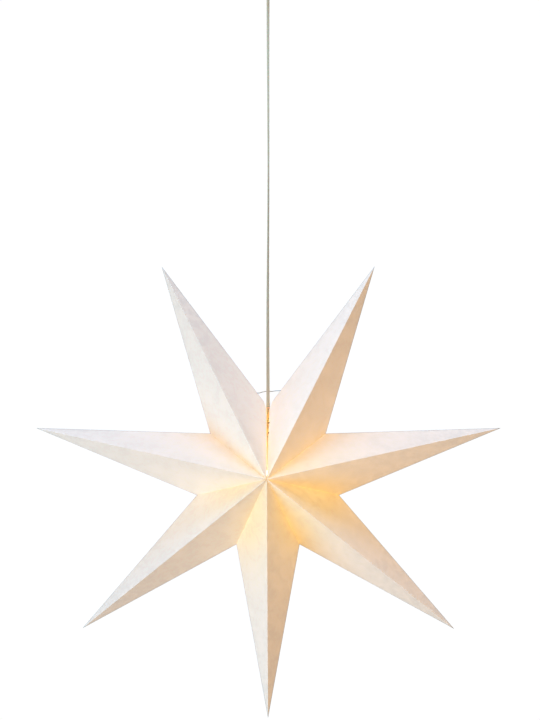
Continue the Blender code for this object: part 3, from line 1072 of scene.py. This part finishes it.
                a = r * wide + c
                faces.append([a, a + 1, a + 1 + wide, a + wide])
        mesh = mesh_from(name + "_paper", verts, faces)
        self.store(mesh, stem, apex, tip, valley, out, hinge)
        self.close_ends(mesh, out)
        obj = add_object(name + "_paper", mesh)
        obj.location = hinge
        wall = obj.modifiers.new("thickness", "SOLIDIFY")
        wall.thickness = self.paper
        wall.offset = 0.0
        wall.material_offset = 1
        self.pieces.append(obj)
        bpy.context.view_layer.update()
        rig.ride(obj, name)
        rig.replaces(obj, name)
        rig.slot(obj, "paper")

    def close_ends(self, mesh: bpy.types.Mesh, out: Vector) -> None:
        """Weld the rows that meet in a point and make all faces look outward.

        Args:
            mesh: the facet's mesh.
            out: the facet's outward direction.
        """
        work = bmesh.new()
        work.from_mesh(mesh)
        work.normal_update()
        if sum(face.normal.dot(out) for face in work.faces) < 0:
            bmesh.ops.reverse_faces(work, faces=work.faces)
        bmesh.ops.remove_doubles(work, verts=work.verts, dist=1e-6)
        bmesh.ops.dissolve_degenerate(work, edges=work.edges, dist=1e-7)
        work.to_mesh(mesh)
        work.free()

    def store(self, mesh: bpy.types.Mesh, stem: str, apex: Vector, tip: Vector, valley: Vector, out: Vector,
              hinge: Vector) -> None:
        """Store on each vertex how much lamp light reaches it and how far it is from each crease.

        Args:
            mesh: the facet's mesh.
            stem: which point it belongs to.
            apex: front or back centre.
            tip: the point's tip.
            valley: the valley corner.
            out: the facet's outward direction.
            hinge: the mesh's origin.
        """
        lamp = self.middle() + Vector(self.lamp_at)
        creases = {"ridge": (apex, tip), "valley": (apex, valley), "rim": (valley, tip)}
        values: dict[str, list[float]] = {"lamp": [], "bounce": [], "ridge": [], "valley": [], "rim": []}
        for vertex in mesh.vertices:
            p = vertex.co + hinge
            ray = p - lamp
            reach = (ray.length_squared + self.lamp_soft ** 2) ** 1.5
            shade = 1 - self.holder_shade * max(0.0, ray.normalized().z)
            share = self.lamp_share[stem] * shade * self.lamp_gain
            values["lamp"].append(share * max(0.0, ray.dot(out)) / reach)
            spread = math.exp(-(p - self.middle()).length / self.bounce_reach)
            values["bounce"].append(self.lamp_share[stem] * spread)
            for key, (start, end) in creases.items():
                along = (end - start).normalized()
                off = p - start
                values[key].append((off - along * off.dot(along)).length)
        for key, numbers in values.items():
            mesh.attributes.new(key, "FLOAT", "POINT").data.foreach_set("value", numbers)

    def dress(self, effects: Effects) -> None:
        """Give all facets their paper, lit through outside and lit straight by the bulb inside.

        Args:
            effects: the shared node groups.
        """
        papers = LampPaper().make(effects), InsidePaper().make(effects)
        for obj in self.pieces:
            for paper in papers:
                obj.data.materials.append(paper)


# ---------------------------------------------------------------- cord
@dataclass
class FlatCord:
    """Flat two-core lamp cord, hanging taut from the ceiling grip to the lampholder.

    Attributes:
        width: across both cores.
        thick: across one core.
        groove: how much of a core is left at the groove between them.
        top: height of its upper end, inside the grip.
        low: height of its lower end, inside the lampholder.
        grip_low: height where it leaves the grip.
        twist: how far it turns along its length, in radians.
        start_turn: how far its upper end is turned, in radians.
        count: rings along it.
        around: points round its section.
        piece: the finished cord.
    """

    width: float = 0.0054
    thick: float = 0.0032
    groove: float = 0.74
    top: float = -0.05405
    low: float = -0.772
    grip_low: float = -0.06405
    twist: float = 2.6
    start_turn: float = 0.5
    count: int = 150
    around: int = 28
    piece: bpy.types.Object | None = None

    def route(self) -> list[tuple[float, float, float]]:
        """The middle line's route, top to bottom."""
        return [(0, 0, self.top), (0, 0, self.top - 0.10), (0.0006, 0, self.top - 0.30),
                (-0.0004, 0, self.top - 0.52), (0, 0, self.low + 0.06), (0, 0, self.low)]

    def section(self) -> list[tuple[float, float]]:
        """Two round cores side by side, with a shallow groove between them.

        Returns:
            Points round the section's middle.
        """
        out = []
        core = self.thick / 2
        shift = self.width / 2 - core
        for i in range(self.around):
            a = 2 * math.pi * i / self.around
            x, y = math.cos(a), math.sin(a)
            reach = shift * abs(x) + math.sqrt(max(core ** 2 - (shift * y) ** 2, (core * self.groove) ** 2))
            out.append((x * reach, y * min(reach, core)))
        return out

    def turned(self, share: float) -> float:
        """Angle of the flat section at a share of the cord's length, in radians."""
        return self.twist * share + self.start_turn

    def build(self) -> None:
        path = smooth_route(self.route(), self.count)
        mesh = sweep("lamp_cord", path, self.section(), self.turned, Vector((1, 0, 0)))
        self.piece = add_object("lamp_cord", mesh)
        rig.ride(self.piece, "pendant")
        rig.replaces(self.piece, "cord")
        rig.slot(self.piece, "cord")
        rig.cord(self.piece, exit=(0, 0, self.grip_low), length=self.top - self.low, diameter=self.width,
                far_end="object", stiffness="medium", lay="taut", path=[tuple(p) for p in path])

    def dress(self, effects: Effects) -> None:
        """Give the cord its soft cream sheath."""
        sheath = Plastic("cord_sheath", (0.84, 0.70, 0.50), rough=0.5, wear=0.4, dust=0.1, soft=0.15)
        self.piece.data.materials.append(sheath.make(effects))


# ---------------------------------------------------------------- small parts
Finish = Plastic | Metal | LitGlass


@dataclass
class FramePieces:
    """CAD nodes whose shape is already right, and the finish each one gets."""

    finishes: dict[str, Finish] = field(default_factory=dict)

    def dress(self, effects: Effects) -> None:
        """Give each node its finish, with one material for each finish.

        Args:
            effects: the shared node groups.
        """
        made: dict[Finish, bpy.types.Material] = {}
        for node, finish in self.finishes.items():
            if finish not in made:
                made[finish] = finish.make(effects)
            obj = frame["nodes"][node]
            for slot in obj.material_slots:
                slot.material = made[finish]


@dataclass
class Lamp(FramePieces):
    """Lampholder and bulb inside the star."""

    def __post_init__(self) -> None:
        """Choose the finishes."""
        white = Plastic("holder_white", (0.88, 0.76, 0.63), rough=0.3)
        brass = Metal("lamp_brass", (0.80, 0.62, 0.30), rough=0.26)
        self.finishes = {
            "holder_cap": white, "holder_shell": white, "holder_sleeve": brass, "bulb_screw": brass,
            "holder_insert": Plastic("holder_ceramic", (0.78, 0.76, 0.70), rough=0.5),
            "bulb_insulator": Plastic("bulb_black_glass", (0.03, 0.03, 0.035), rough=0.15, coat=0.4),
            "bulb_contact": Metal("bulb_solder", (0.62, 0.61, 0.60), rough=0.4),
            "bulb_glass": LitGlass(),
        }


@dataclass
class Hanging(FramePieces):
    """Hanger wire and seam studs on the star."""

    def __post_init__(self) -> None:
        """Choose the finishes."""
        stud = Metal("stud_bronze", (0.20, 0.17, 0.09), rough=0.45)
        self.finishes = {
            "hanger_wire": Metal("bright_wire", (0.42, 0.40, 0.39), rough=0.42, lines=0.7),
            "seam_stud_1": stud, "seam_stud_2": stud,
        }


@dataclass
class CeilingFitting(FramePieces):
    """Bracket, cup, hook, link and cord grip at the ceiling."""

    def __post_init__(self) -> None:
        """Choose the finishes."""
        white = Plastic("cup_white", (0.93, 0.77, 0.62), rough=0.28)
        zinc = Metal("zinc_plate", (0.72, 0.64, 0.56), rough=0.36)
        screw = Metal("screw_steel", (0.66, 0.59, 0.52), rough=0.3)
        self.finishes = {
            "ceiling_cup": white, "cord_grip": white, "ceiling_bracket": zinc, "ceiling_hook": zinc,
            "hook_nut": zinc, "hanging_link": screw, "cup_screw_left": screw, "cup_screw_right": screw,
        }


# ---------------------------------------------------------------- studio
@dataclass(frozen=True)
class SoftLight:
    """One square soft light that looks at the star.

    Attributes:
        name: its name.
        offset: where it stands from the star's middle.
        size: side of its panel.
        power: in watts.
        colour: its colour.
    """

    name: str
    offset: tuple[float, float, float]
    size: float
    power: float
    colour: Colour

    def place(self, look_at: Vector) -> None:
        """Put the light in the scene.

        Args:
            look_at: the star's middle.
        """
        data = bpy.data.lights.new(self.name, "AREA")
        data.energy, data.size, data.color = self.power, self.size, self.colour
        obj = add_object(self.name, data)
        obj.location = look_at + Vector(self.offset)
        obj.rotation_euler = (-Vector(self.offset)).to_track_quat("-Z", "Y").to_euler()


@dataclass
class Studio:
    """Pale floor, white surround, soft lights and the camera.

    Attributes:
        look_at: the star's middle.
        distance: how far the camera stands from it.
        azimuth: how far right of the front the camera stands, in degrees.
        above: how far above the star's middle it stands, in degrees.
        span: height of the view at the star.
        off_axis: how far right of and above the star's middle the camera looks.
        floor: height of the floor.
        floor_half: half the floor's side.
        floor_glow: the floor's own light, which keeps it pale in every view.
        white_seen: brightness of the surround as it looks.
        white_lit: brightness of the surround as a light.
        lights: the soft lights, in order.
    """

    look_at: Vector
    distance: float = 3.0
    azimuth: float = 1.07
    above: float = 1.0
    span: float = 1.1383
    off_axis: tuple[float, float] = (0.0031, 0.1869)
    floor: float = -2.4
    floor_half: float = 4.0
    floor_glow: float = 0.5
    white_seen: float = 1.02
    white_lit: float = 0.35
    lights: tuple[SoftLight, ...] = (
        SoftLight("key", (-2.1, -1.5, 1.7), 1.3, 13.6, (0.735, 0.88, 1.0)),
        SoftLight("above", (0.0, -0.5, 2.9), 1.6, 53.2, (0.25, 0.60, 1.0)),
        SoftLight("fill", (-1.9, -1.1, -1.45), 1.6, 59.6, (0.33, 0.715, 1.0)),
        SoftLight("back", (0.8, 2.3, 1.2), 1.8, 45.0, (0.45, 0.75, 1.0)),
    )

    def build_floor(self) -> None:
        """Lay the floor; it is seen, but throws no light on the star."""
        corners = [Vector((x * self.floor_half, y * self.floor_half, 0))
                   for x, y in ((-1, -1), (1, -1), (1, 1), (-1, 1))]
        mesh = mesh_from("floor", corners, [[0, 1, 2, 3]], smooth=False)
        obj = add_object("floor", mesh)
        obj.location.z = self.floor
        mat, _, shader = new_material("pale_floor")
        shader.inputs["Base Color"].default_value = (0.86, 0.70, 0.55, 1)
        shader.inputs["Roughness"].default_value = 0.8
        shader.inputs["Emission Color"].default_value = (1.0, 0.96, 0.92, 1)
        shader.inputs["Emission Strength"].default_value = self.floor_glow
        mesh.materials.append(mat)
        obj.visible_diffuse = False
        obj.visible_glossy = False
        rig.stage(obj)

    def build_surround(self) -> None:
        """White surround, dimmer as a light than it looks."""
        world = bpy.data.worlds.new("surround")
        bpy.context.scene.world = world
        world.use_nodes = True
        b = Bench(world.node_tree)
        world.node_tree.nodes.clear()
        seen, lit = b.add("ShaderNodeBackground"), b.add("ShaderNodeBackground")
        seen.inputs["Color"].default_value = (1, 1, 1, 1)
        seen.inputs["Strength"].default_value = self.white_seen
        lit.inputs["Color"].default_value = (1, 1, 1, 1)
        lit.inputs["Strength"].default_value = self.white_lit
        choose = b.add("ShaderNodeMixShader")
        b.join(b.add("ShaderNodeLightPath").outputs["Is Camera Ray"], choose.inputs[0])
        b.join(lit.outputs[0], choose.inputs[1])
        b.join(seen.outputs[0], choose.inputs[2])
        b.join(choose.outputs[0], b.add("ShaderNodeOutputWorld").inputs["Surface"])

    def build_camera(self) -> None:
        """Set the camera a little right of and above the star's middle."""
        a, e = math.radians(self.azimuth), math.radians(self.above)
        away = Vector((math.sin(a) * math.cos(e), -math.cos(a) * math.cos(e), math.sin(e)))
        data = bpy.data.cameras.new("camera")
        data.lens = data.sensor_width * self.distance / self.span
        data.clip_start, data.clip_end = 0.05, 60.0
        obj = add_object("camera", data)
        obj.location = self.look_at + away * self.distance
        right = Vector((math.cos(a), math.sin(a), 0.0))
        up = right.cross(-away)
        target = self.look_at + right * self.off_axis[0] + up * self.off_axis[1]
        obj.rotation_mode = "QUATERNION"
        obj.rotation_quaternion = (target - obj.location).to_track_quat("-Z", "Y")
        bpy.context.scene.camera = obj

    def build(self) -> None:
        """Build the whole studio."""
        bpy.context.scene.view_settings.view_transform = "Standard"
        self.build_floor()
        self.build_surround()
        for light in self.lights:
            light.place(self.look_at)
        self.build_camera()


@dataclass
class SizeLog:
    """Keeps the frame's box and writes it beside the finished model's box.

    Attributes:
        cad: lowest and highest corner of the frame's box.
        path: where both boxes are written.
    """

    cad: tuple[Vector, Vector]
    path: str = "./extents.json"

    def write(self) -> None:
        """Write both boxes as plain lists."""
        boxes = {"cad": self.cad, "visual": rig.bounds()}
        with open(self.path, "w") as out:
            json.dump({k: [list(map(float, v)) for v in box] for k, box in boxes.items()}, out)


def main() -> None:
    """Build and dress every part of the lantern, then the studio."""
    logging.basicConfig(level=logging.INFO, format="%(name)s: %(message)s")
    sizes = SizeLog(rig.bounds())
    effects = Effects()
    star = PaperStar()
    star.build()
    star.dress(effects)
    LOG.info("paper star: %d facets", len(star.pieces))
    cord = FlatCord()
    cord.build()
    cord.dress(effects)
    LOG.info("flat cord: %.3f m", cord.top - cord.low)
    for part in (Lamp(), Hanging(), CeilingFitting()):
        part.dress(effects)
        for node in part.finishes:
            LOG.info("%s: %s", type(part).__name__, node)
    Studio(star.middle()).build()
    sizes.write()


if __name__ == "__main__":
    main()
